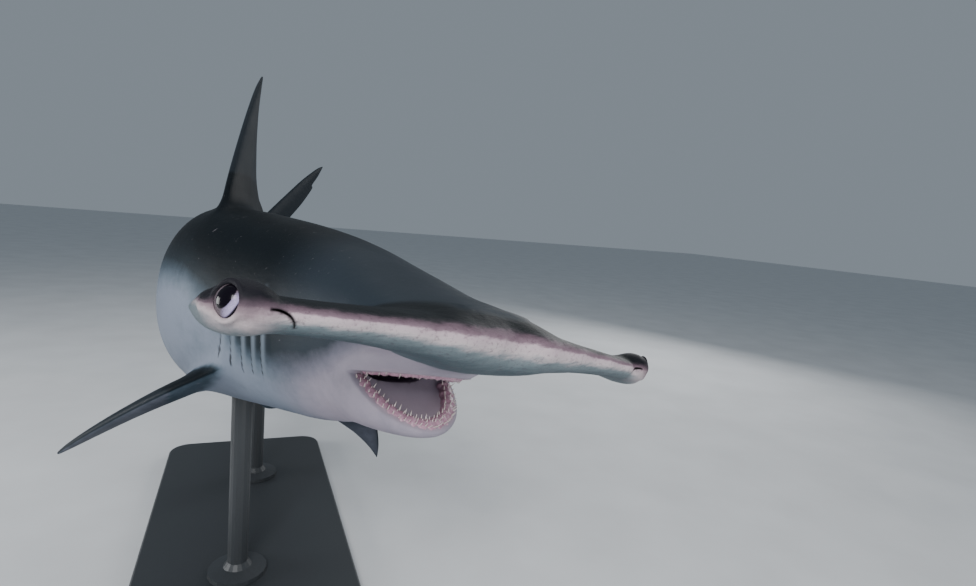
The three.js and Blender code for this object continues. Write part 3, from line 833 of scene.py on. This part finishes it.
mesh = skin.data
masks = {name: [] for name in MASKS}
for vert in mesh.vertices:
    x, s, z = straighten(vert.co)
    away = {name: FAR for name in trees}
    for name, tree in trees.items():
        hit = tree.find_nearest(vert.co, SEARCH)
        if hit[0] is not None:
            away[name] = hit[3]
    part = min(away, key=away.get)
    to_wing = min(away[name] for name in away if name.startswith(WING))
    to_rest = min(away[name] for name in away if not name.startswith(WING))
    rel, share = hammer_height(x, s, z)
    own = smooth(away["trunk"] - away[part], 0.0, 0.05 if part in ("jaw", "muzzle") else 0.03)
    masks["tone"].append(own * part_tone(part, s, z, vert.normal)
                         + (1 - own) * trunk_tone(s, z))
    masks["height"].append(0.5 - 0.5 * rel + 0.25 * smooth(share, 0.2, 0.7))
    masks["wing"].append(smooth(to_rest - to_wing, -0.006, 0.014))
    masks["front"].append(1 - smooth(share, 0.22, 0.5))
    masks["end"].append(smooth(abs(x) / HALF_HAMMER, 0.79, 0.92) * (1 - smooth(s, 60, 150)))
    masks["lining"].append(1 - smooth(near_cut(vert.co, MOUTH, 0.006), 0.0005, 0.004))
    # Share of the way back into the mouth, for painted shade that darkens the lining towards the
    # throat.
    masks["depth"].append(smooth(s, 240, 420))
    # Near-black rim in and round the gill slits and nostrils: painted shade in the cuts.
    masks["slit"].append(1 - smooth(near_cut(vert.co, SLITS, 0.004), 0.0004, 0.002))
    # Where the pale painted highlight lies along the gill flaps' edges.
    masks["flap"].append(flap_edge_highlight(x, s, z) if part == "trunk" else 0.0)
    masks["lip"].append(1 - smooth(near_cut(vert.co, LIPS, 0.02), 0.004, 0.018))
    jaws = smooth(away["trunk"] - min(away["jaw"], away["muzzle"]), -0.05, 0.05)
    masks["throat"].append(max(jaws, 1 - smooth(s, 380, 620)))
for name, values in masks.items():
    store(mesh, name, values)
    print("mask", name, "mean", round(sum(values) / len(values), 3))
mesh.shade_smooth()
print("skin", len(mesh.vertices), "points")

# %% [markdown]
# ## Skin material
# A shark's scales are too fine to see one by one, so they are a fine bump under a satin
# sheen. The colour could be one ramp from belly to back, but a live skin is cloudy,
# scratched and worn, so it is built in layers from the masks, each blurred and broken up
# with noise so that no boundary is a clean line.

# %% Helpers for node materials
def rgb(code):
    """Colour code to linear values."""
    parts = [int(code[i:i + 2], 16) / 255 for i in (0, 2, 4)]
    linear = [v / 12.92 if v <= 0.04045 else ((v + 0.055) / 1.055) ** 2.4 for v in parts]
    return (*linear, 1)


class Nodes:
    """Short names for the few nodes that the materials use."""

    def __init__(self, name, roughness):
        self.material = bpy.data.materials.new(name)
        self.material.use_nodes = True
        self.tree = self.material.node_tree
        self.shader = self.tree.nodes["Principled BSDF"]
        self.shader.inputs["Roughness"].default_value = roughness
        self.coords = self.tree.nodes.new("ShaderNodeTexCoord").outputs["Object"]

    def link(self, source, socket):
        """Put a number or a colour on a socket, or join a node's output to it."""
        if isinstance(source, (int, float, tuple)):
            socket.default_value = source
        else:
            self.tree.links.new(source, socket)

    def mask(self, name):
        """One of the numbers stored on the points."""
        node = self.tree.nodes.new("ShaderNodeAttribute")
        node.attribute_name = name
        return node.outputs["Fac"]

    def noise(self, scale, detail=4, rough=0.55, stretch=None, distortion=0.0):
        """Cloudy values round 0.5, with scale in features per metre."""
        node = self.tree.nodes.new("ShaderNodeTexNoise")
        node.inputs["Scale"].default_value = scale
        node.inputs["Detail"].default_value = detail
        node.inputs["Roughness"].default_value = rough
        node.inputs["Distortion"].default_value = distortion
        source = self.coords
        if stretch:
            mapping = self.tree.nodes.new("ShaderNodeMapping")
            mapping.inputs["Scale"].default_value = stretch
            self.link(self.coords, mapping.inputs["Vector"])
            source = mapping.outputs["Vector"]
        self.link(source, node.inputs["Vector"])
        return node.outputs["Fac"]

    def calc(self, operation, a, b=0.0, clamp=False):
        node = self.tree.nodes.new("ShaderNodeMath")
        node.operation = operation
        node.use_clamp = clamp
        self.link(a, node.inputs[0])
        self.link(b, node.inputs[1])
        return node.outputs[0]

    def ramp(self, value, stops):
        """Colour from a value, through stops of (place, colour)."""
        node = self.tree.nodes.new("ShaderNodeValToRGB")
        elements = node.color_ramp.elements
        while len(elements) < len(stops):
            elements.new(0.5)
        for element, (at, colour) in zip(elements, stops):
            element.position = at
            element.color = colour
        self.link(value, node.inputs["Fac"])
        return node.outputs["Color"]

    def band(self, value, low, high):
        """Soft step from 0 at low to 1 at high."""
        node = self.tree.nodes.new("ShaderNodeMapRange")
        node.interpolation_type = "SMOOTHSTEP"
        self.link(value, node.inputs["Value"])
        node.inputs["From Min"].default_value = low
        node.inputs["From Max"].default_value = high
        return node.outputs["Result"]

    def mix(self, factor, a, b):
        node = self.tree.nodes.new("ShaderNodeMix")
        node.data_type = "RGBA"
        self.link(factor, node.inputs["Factor"])
        self.link(a, node.inputs["A"])
        self.link(b, node.inputs["B"])
        return node.outputs["Result"]

    def wobble(self, value, amount):
        """Noise moved to lie round 0, and scaled."""
        return self.calc("MULTIPLY", self.calc("SUBTRACT", value, 0.5), amount)

    def bump(self, height, strength, distance, below=None):
        """Relief from a height, on top of another relief."""
        node = self.tree.nodes.new("ShaderNodeBump")
        node.inputs["Strength"].default_value = strength
        node.inputs["Distance"].default_value = distance
        self.link(height, node.inputs["Height"])
        if below is not None:
            self.link(below, node.inputs["Normal"])
        return node.outputs["Normal"]


print("white is", rgb("ffffff"))

# %% Skin: belly and back
n = Nodes("skin", 0.5)
mottle = n.noise(9, 5, 0.6)
fine = n.noise(60, 4, 0.6)
grit = n.noise(700, 2, 0.5)
tone = n.calc("ADD", n.mask("tone"), n.wobble(mottle, 0.3))
tone = n.calc("ADD", tone, n.wobble(fine, 0.14), clamp=True)
colour = n.ramp(tone, [(0.0, rgb("737b89")), (0.2, rgb("5b6672")), (0.42, rgb("36424c")),
                       (0.62, rgb("121d24")), (1.0, rgb("070d12"))])
cloud = n.band(n.noise(4.5, 6, 0.6), 0.35, 0.7)
colour = n.mix(n.calc("MULTIPLY", cloud, 0.4), colour, n.ramp(tone, [
    (0.0, rgb("5d6874")), (0.45, rgb("2a363e")), (1.0, rgb("0b1419"))]))
throat_colour = n.ramp(n.calc("ADD", tone, n.calc("MULTIPLY", mottle, 0.3)), [
    (0.10, rgb("a599a5")), (0.42, rgb("777380")), (0.8, rgb("2b333b"))])
colour = n.mix(n.calc("MULTIPLY", n.mask("throat"), 0.75), colour, throat_colour)
scratch = n.band(n.noise(26, 3, 0.6, stretch=(1, 6, 3), distortion=1.5), 0.69, 0.72)
colour = n.mix(n.calc("MULTIPLY", scratch, 0.15), colour, rgb("b9b2b8"))
print("nodes for belly and back", len(n.tree.nodes))

# %% Skin: the hammer's scarred front and its ends
broken = n.calc("SUBTRACT", n.noise(38, 6, 0.72, stretch=(0.7, 1, 2.6)), 0.5)
height = n.calc("ADD", n.mask("height"), n.calc("MULTIPLY", broken, 0.3))
# Front band: dark top, then scarred mauve and cream; the last two grey-green stops under the
# hammer are painted shade on its underside.
front_band_and_underside_shade = n.ramp(height, [
    (0.13, rgb("0a1014")), (0.21, rgb("2a262c")), (0.28, rgb("5d4c56")), (0.43, rgb("7d6974")),
    (0.50, rgb("b5a3ab")), (0.62, rgb("b9aeb1")), (0.74, rgb("727e83")), (0.95, rgb("435158"))])
# Behind the front: dark top, then a grey-green underside that is painted shade.
wing_colour_and_underside_shade = n.ramp(height, [(0.25, rgb("0a1014")), (0.5, rgb("2c3840")), (0.8, rgb("4d5b62"))])
colour = n.mix(n.mask("wing"), colour, n.mix(n.mask("front"), wing_colour_and_underside_shade, front_band_and_underside_shade))
bare = n.calc("MULTIPLY", n.mask("wing"), n.mask("front"))
worn = n.calc("MULTIPLY", n.band(n.noise(150, 5, 0.7), 0.52, 0.66),
              n.calc("MULTIPLY", n.band(height, 0.2, 0.35), bare))
colour = n.mix(n.calc("MULTIPLY", worn, 0.4), colour, rgb("4c3c46"))
end_colour = n.ramp(n.calc("ADD", n.mask("height"), n.wobble(fine, 0.35)), [
    (0.1, rgb("1d1c22")), (0.35, rgb("473c44")), (0.56, rgb("7d6b73")), (0.76, rgb("b3a5a8")),
    (1.0, rgb("6f777c"))])
colour = n.mix(n.calc("MULTIPLY", n.mask("end"), 0.85), colour, end_colour)
print("nodes with the hammer", len(n.tree.nodes))

# %% Skin: gills, lips and lining, and the relief
# Paler colour along the raised gill flap edges: a painted highlight.
colour = n.mix(n.calc("MULTIPLY", n.mask("flap"), 0.6), colour, rgb("77828e"))
lip_colour = n.ramp(fine, [(0.3, rgb("8f7380")), (0.7, rgb("b79fa9"))])
colour = n.mix(n.calc("MULTIPLY", n.mask("lip"), 0.6), colour, lip_colour)
# The lining is pale mauve, darkened towards the throat as painted shade.
lining = n.ramp(n.calc("ADD", n.mask("depth"), n.calc("MULTIPLY", mottle, 0.5)), [
    (0.1, rgb("b8a8b4")), (0.5, rgb("a59aa8")), (1.0, rgb("6d6573"))])
colour = n.mix(n.mask("lining"), colour, lining)
# Painted shade: near-black in and round the slits and nostrils.
colour = n.mix(n.calc("MULTIPLY", n.mask("slit"), 0.9), colour, rgb("0e1013"))
n.link(colour, n.shader.inputs["Base Color"])
n.link(n.calc("ADD", 0.44, n.calc("MULTIPLY", mottle, 0.2)), n.shader.inputs["Roughness"])
n.shader.inputs["Specular IOR Level"].default_value = 0.1
wrinkle = n.noise(45, 5, 0.65, stretch=(1, 1, 2))
normal = n.bump(grit, 0.12, 0.0006)
normal = n.bump(wrinkle, 0.3, 0.002, normal)
normal = n.bump(n.calc("MULTIPLY", n.mask("wing"), broken), 0.5, 0.004, normal)
folds = n.calc("MULTIPLY", bare, n.noise(16, 2, 0.5))
normal = n.bump(folds, 0.4, 0.01, normal)
n.link(normal, n.shader.inputs["Normal"])
skin.name = "skin"
skin.data.name = "skin"
skin.data.materials.clear()
skin.data.materials.append(n.material)
print("nodes in the skin material", len(n.tree.nodes))

# %% [markdown]
# ## Eyes
# Each eye is a ball sunk in its socket. A large dark pupil fills the upper part, and the
# iris shows under it, with a painted highlight that makes one lower side pale. A ring
# pattern in the material would have to be aimed at each eye's own place, so how far each
# point lies from the pupil is stored on the ball instead.

# %% Build the eyes
n = Nodes("eye", 0.14)
streaks = n.noise(900, 4, 0.7)
ring = n.calc("ADD", n.mask("gaze"), n.wobble(streaks, 0.04))
# Iris: darker on one side, pale on its lit lower side as a painted highlight.
iris = n.mix(n.band(n.mask("iris_lit_side"), 0.1, 0.5), n.ramp(streaks, [
    (0.3, rgb("3c343b")), (0.7, rgb("6d6268"))]), n.ramp(streaks, [
        (0.3, rgb("8d83a8")), (0.7, rgb("b5abcc"))]))
colour = n.mix(n.band(ring, 0.47, 0.53), rgb("0b0810"), iris)
colour = n.mix(n.band(ring, 0.78, 0.86), colour, rgb("15101a"))
n.link(colour, n.shader.inputs["Base Color"])
n.shader.inputs["Specular IOR Level"].default_value = 0.14
eye_material = n.material
PUPIL_HALF = (0.44, 0.66)
BEHIND = 2.0
eyes = []
for hand, name in SIDES:
    bm = ball(hand, EYE_RADIUS, 64, 48)
    face_outwards(bm)
    eye = to_object(f"eye_{name}_ball", bm)
    at, across, high, out = eye_axes(hand)
    centre = eye_place(hand)(0, 0, -EYE_DEPTH)
    gaze, iris_lit_side = [], []
    for vert in eye.data.vertices:
        ray = (vert.co - centre).normalized()
        a, b = -hand * ray.dot(across), ray.dot(high)
        near, far = a + 0.04 - 0.30 * b, b - 0.24 + 0.30 * a
        from_pupil = 0.5 * hypot(near / PUPIL_HALF[0], far / PUPIL_HALF[1])
        gaze.append(from_pupil if ray.dot(out) > 0 else BEHIND)
        # Painted light: how far a point lies towards the iris's lit lower side.
        iris_lit_side.append(0.8 * a - 0.45 * b)
    store(eye.data, "gaze", gaze)
    store(eye.data, "iris_lit_side", iris_lit_side)
    eye.data.shade_smooth()
    eye.data.materials.append(eye_material)
    eyes.append(eye)
    print(eye.name, "centre", centre)

# %% [markdown]
# ## Gums
# The gum is a soft roll along the inside of each jaw. A plain tube would look like a hose,
# so its section ripples along the arch and its colour is broken up finely.

# %% Gums
def arch(angle, half_wide, length):
    """x and s of a point on a jaw's arch."""
    return half_wide * sin(angle), HINGE_S - length * cos(angle)


def lower_gum(t, a):
    angle = radians(-80 + 160 * t)
    x, s = arch(angle, JAW_HALF_WIDTH - 18, JAW_LENGTH - 18)
    ripple = 1 + 0.08 * sin(angle * 34) + 0.06 * sin(angle * 61 + 1)
    out, up = 14 * cos(a) * ripple, 11 * sin(a) * ripple
    return jaw_place(x + out * sin(angle), s - out * cos(angle), HINGE_Z + up + 1)


def upper_gum(t, a):
    angle = radians(-76 + 152 * t)
    x, s = arch(angle, MUZZLE_HALF_WIDTH - 24, MUZZLE_LENGTH - 22)
    ripple = 1 + 0.1 * sin(angle * 36) + 0.08 * sin(angle * 57 + 2)
    out, up = 9 * cos(a) * ripple, 7 * sin(a) * ripple
    return snout_place(x + out * sin(angle), s - out * cos(angle), HINGE_Z + up - 1)


n = Nodes("gum", 0.3)
fine = n.noise(130, 5, 0.65)
colour = n.ramp(fine, [(0.25, rgb("7f5b6d")), (0.5, rgb("a68092")), (0.75, rgb("c2a1af"))])
n.link(colour, n.shader.inputs["Base Color"])
n.link(n.bump(fine, 0.5, 0.002), n.shader.inputs["Normal"])
gum_material = n.material
gums = []
for name, shape in (("gum_lower", lower_gum), ("gum_upper", upper_gum)):
    bm = loft(20, 120, shape)
    face_outwards(bm)
    gum = to_object(name, bm)
    gum.data.materials.append(gum_material)
    gum.data.shade_smooth()
    gums.append(gum)
    print(name, len(gum.data.polygons), "faces")

# %% [markdown]
# ## Teeth
# Teeth grow out of the gum in rows, the front row tallest. Copies of one tooth would be
# quicker, but in a live mouth no two match, so each is a curved flattened cone of its own
# size and lean, drawn from a seeded random series.

# %% Teeth
rng = Random(7)
LOWER_ROWS = ((31, 11), (28, 18), (25, 25))
UPPER_ROWS = ((25, 15), (21, 24))
LOWER_TOOTH, LOWER_TOOTH_RADIUS = 7, 0.0024
UPPER_TOOTH, UPPER_TOOTH_RADIUS = 6, 0.0022
TIP_RADIUS = 0.0002
FLATTENING = 0.6


def tooth(bm, base, tip, lean, wide):
    """Curved flattened cone from base to tip."""
    axis = tip - base
    turn = Vector((0, 0, 1)).rotation_difference(axis.normalized())
    first = len(bm.verts)
    sides = bmesh.ops.create_cone(bm, cap_ends=True, segments=10, radius1=wide,
                                  radius2=TIP_RADIUS, depth=axis.length)["verts"]
    tall = {edge for vert in sides for edge in vert.link_edges
            if edge.calc_length() > wide * 1.5}
    bmesh.ops.subdivide_edges(bm, edges=list(tall), cuts=3)
    bm.verts.ensure_lookup_table()
    for vert in bm.verts[first:]:
        h = vert.co.z / axis.length + 0.5
        bend = lean * h * h
        vert.co = base + turn @ Vector((
            vert.co.x, vert.co.y * FLATTENING, h * axis.length)) + bend


bm = bmesh.new()
for row, (count, inset) in enumerate(LOWER_ROWS):
    for k in range(count):
        angle = radians(-78 + 156 * (k + 0.5 * (row % 2) + 0.3 * rng.random()) / (count - 0.3))
        x, s = arch(angle, JAW_HALF_WIDTH - inset, JAW_LENGTH - inset)
        high = LOWER_TOOTH * (0.6 + 0.8 * rng.random()) * (1, 0.9, 0.7)[row]
        out = (6, 0, -5)[row] + 5 * (rng.random() - 0.5)
        base = jaw_place(x, s, HINGE_Z + 5)
        tip = jaw_place(x + out * sin(angle), s - out * cos(angle), HINGE_Z + 11 + high)
        inward = jaw_place(x, s + 2, HINGE_Z) - jaw_place(x, s, HINGE_Z)
        tooth(bm, base, tip, inward, LOWER_TOOTH_RADIUS)
for row, (count, inset) in enumerate(UPPER_ROWS):
    for k in range(count):
        angle = radians(-70 + 140 * (k + 0.5 * row) / (count - 0.5))
        x, s = arch(angle, MUZZLE_HALF_WIDTH - inset, MUZZLE_LENGTH - inset)
        high = UPPER_TOOTH * (0.6 + 0.8 * rng.random()) * (1, 0.7)[row]
        base = snout_place(x, s, HINGE_Z + 2)
        tip = snout_place(x, s + 4, HINGE_Z - 4 - high)
        inward = snout_place(x, s + 2, 0) - snout_place(x, s, 0)
        tooth(bm, base, tip, inward, UPPER_TOOTH_RADIUS)
face_outwards(bm)
teeth = to_object("teeth_set", bm)
n = Nodes("teeth", 0.25)
colour = n.ramp(n.noise(220, 3, 0.6), [(0.3, rgb("a89c98")), (0.7, rgb("d2cbc6"))])
n.link(colour, n.shader.inputs["Base Color"])
teeth.data.materials.append(n.material)
teeth.data.shade_smooth()
print("teeth faces", len(teeth.data.polygons))

# %% [markdown]
# ## Stand
# The base is a flat plate with rounded corners and a small bevel, and the rods are turned
# forms with a spread foot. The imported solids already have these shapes, so they stay, and
# only their material is made here: a dark powder coat, speckled and lightly pebbled.

# %% Coat the stand
n = Nodes("stand", 0.5)
speck = n.noise(900, 3, 0.6)
colour = n.ramp(speck, [(0.3, rgb("202326")), (0.7, rgb("33373b"))])
n.link(colour, n.shader.inputs["Base Color"])
n.link(n.bump(speck, 0.2, 0.0004), n.shader.inputs["Normal"])
stand_material = n.material
for name in ("stand_base", "stand_rod_front", "stand_rod_rear"):
    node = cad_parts[name]
    for slot in node.material_slots:
        slot.material = stand_material
    print(name, "coated")

# %% [markdown]
# ## Hand the pieces to the frame
# Every piece has to ride on a body, so that it moves with it. A still model has one body,
# the root. The skin stands for all the flesh solids at once and each eyeball for one.

# %% Ride and replace
FLESH = ["head", "hammer_right", "hammer_left", "lower_jaw", "neck", "torso", "rear_body",
         "tail_stalk", "dorsal_fin_first", "dorsal_fin_second", "anal_fin",
         "pectoral_fin_right", "pectoral_fin_left", "pelvic_fin_right", "pelvic_fin_left",
         "caudal_fin_upper", "caudal_fin_lower"]
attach(skin, "root")
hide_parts(*FLESH)
for eye, node in zip(eyes, ("eye_right", "eye_left")):
    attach(eye, "root")
    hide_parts(node)
for gum in gums:
    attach(gum, "root")
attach(teeth, "root")
print("pieces", [piece.name for piece in (skin, *eyes, *gums, teeth)])

# %% [markdown]
# ## Studio
# A plain pale floor and soft light from large panels show the form without hard shadows.
# A brighter sky alone would be simpler, but panels from the front and the side draw out
# the hammer's edge and the flank.

# %% Floor and lights
bm = bmesh.new()
bmesh.ops.create_grid(bm, x_segments=1, y_segments=1, size=30)
floor = to_object("floor", bm)
n = Nodes("floor", 0.8)
colour = n.ramp(n.noise(3, 3, 0.5), [(0.3, rgb("c9cbcd")), (0.7, rgb("d2d4d6"))])
n.link(colour, n.shader.inputs["Base Color"])
floor.data.materials.append(n.material)

world = bpy.data.worlds.new("studio")
world.use_nodes = True
world.node_tree.nodes["Background"].inputs["Color"].default_value = rgb("b9c6d2")
world.node_tree.nodes["Background"].inputs["Strength"].default_value = 0.45
bpy.context.scene.world = world


def panel(name, at, target, size, watts):
    """Soft light at a place, turned to a target."""
    light = bpy.data.lights.new(name, "AREA")
    light.shape = "RECTANGLE"
    light.size, light.size_y = size
    light.energy = watts
    obj = bpy.data.objects.new(name, light)
    bpy.context.scene.collection.objects.link(obj)
    at = Vector(at)
    obj.matrix_world = Matrix.Translation(at) @ (
        (Vector(target) - at).to_track_quat("-Z", "Y").to_matrix().to_4x4())


snout = place(0, 0, 0)
panel("key", (-1.2, -4.2, 3.2), snout, (1.6, 1.6), 190)
panel("side", (-4.0, 0.4, 1.0), (0, 0.1, 0.8), (2.0, 1.5), 120)
panel("fill", (1.2, -3.6, 0.7), snout, (2.5, 1.0), 30)
panel("top", (0.5, 1.0, 4.2), (0, 0.5, 0.8), (4, 4), 40)
panel("rear", (3.8, 2.2, 2.0), (0, 0.5, 0.8), (2.5, 2.0), 60)
print("lights", len(bpy.data.lights))

# %% [markdown]
# ## Camera
# The camera stands where the photograph's was, close before the head and a little above
# it, turned, tipped and rolled as it was. Its lens is given by a focal length in pixels.

# %% Camera
PHOTO_WIDTH = 976
FOCAL_PIXELS = 560
SENSOR = 36

camera_at = snout + Vector((-0.390, -0.730, 0.170))
yaw, pitch, roll = radians(23.8), radians(-7.2), radians(4.9)
ahead = Vector((sin(yaw) * cos(pitch), cos(yaw) * cos(pitch), sin(pitch)))
right = Vector((cos(yaw), -sin(yaw), 0))
up = right.cross(ahead)
right, up = right * cos(roll) + up * sin(roll), up * cos(roll) - right * sin(roll)
lens = bpy.data.cameras.new("camera")
lens.sensor_width = SENSOR
lens.lens = SENSOR * FOCAL_PIXELS / PHOTO_WIDTH
lens.clip_start = 0.02
camera = bpy.data.objects.new("camera", lens)
bpy.context.scene.collection.objects.link(camera)
turn = Matrix((right, up, -ahead)).transposed().to_4x4()
camera.matrix_world = Matrix.Translation(camera_at) @ turn
bpy.context.scene.camera = camera
print("lens", round(lens.lens, 2), "mm at", camera_at)
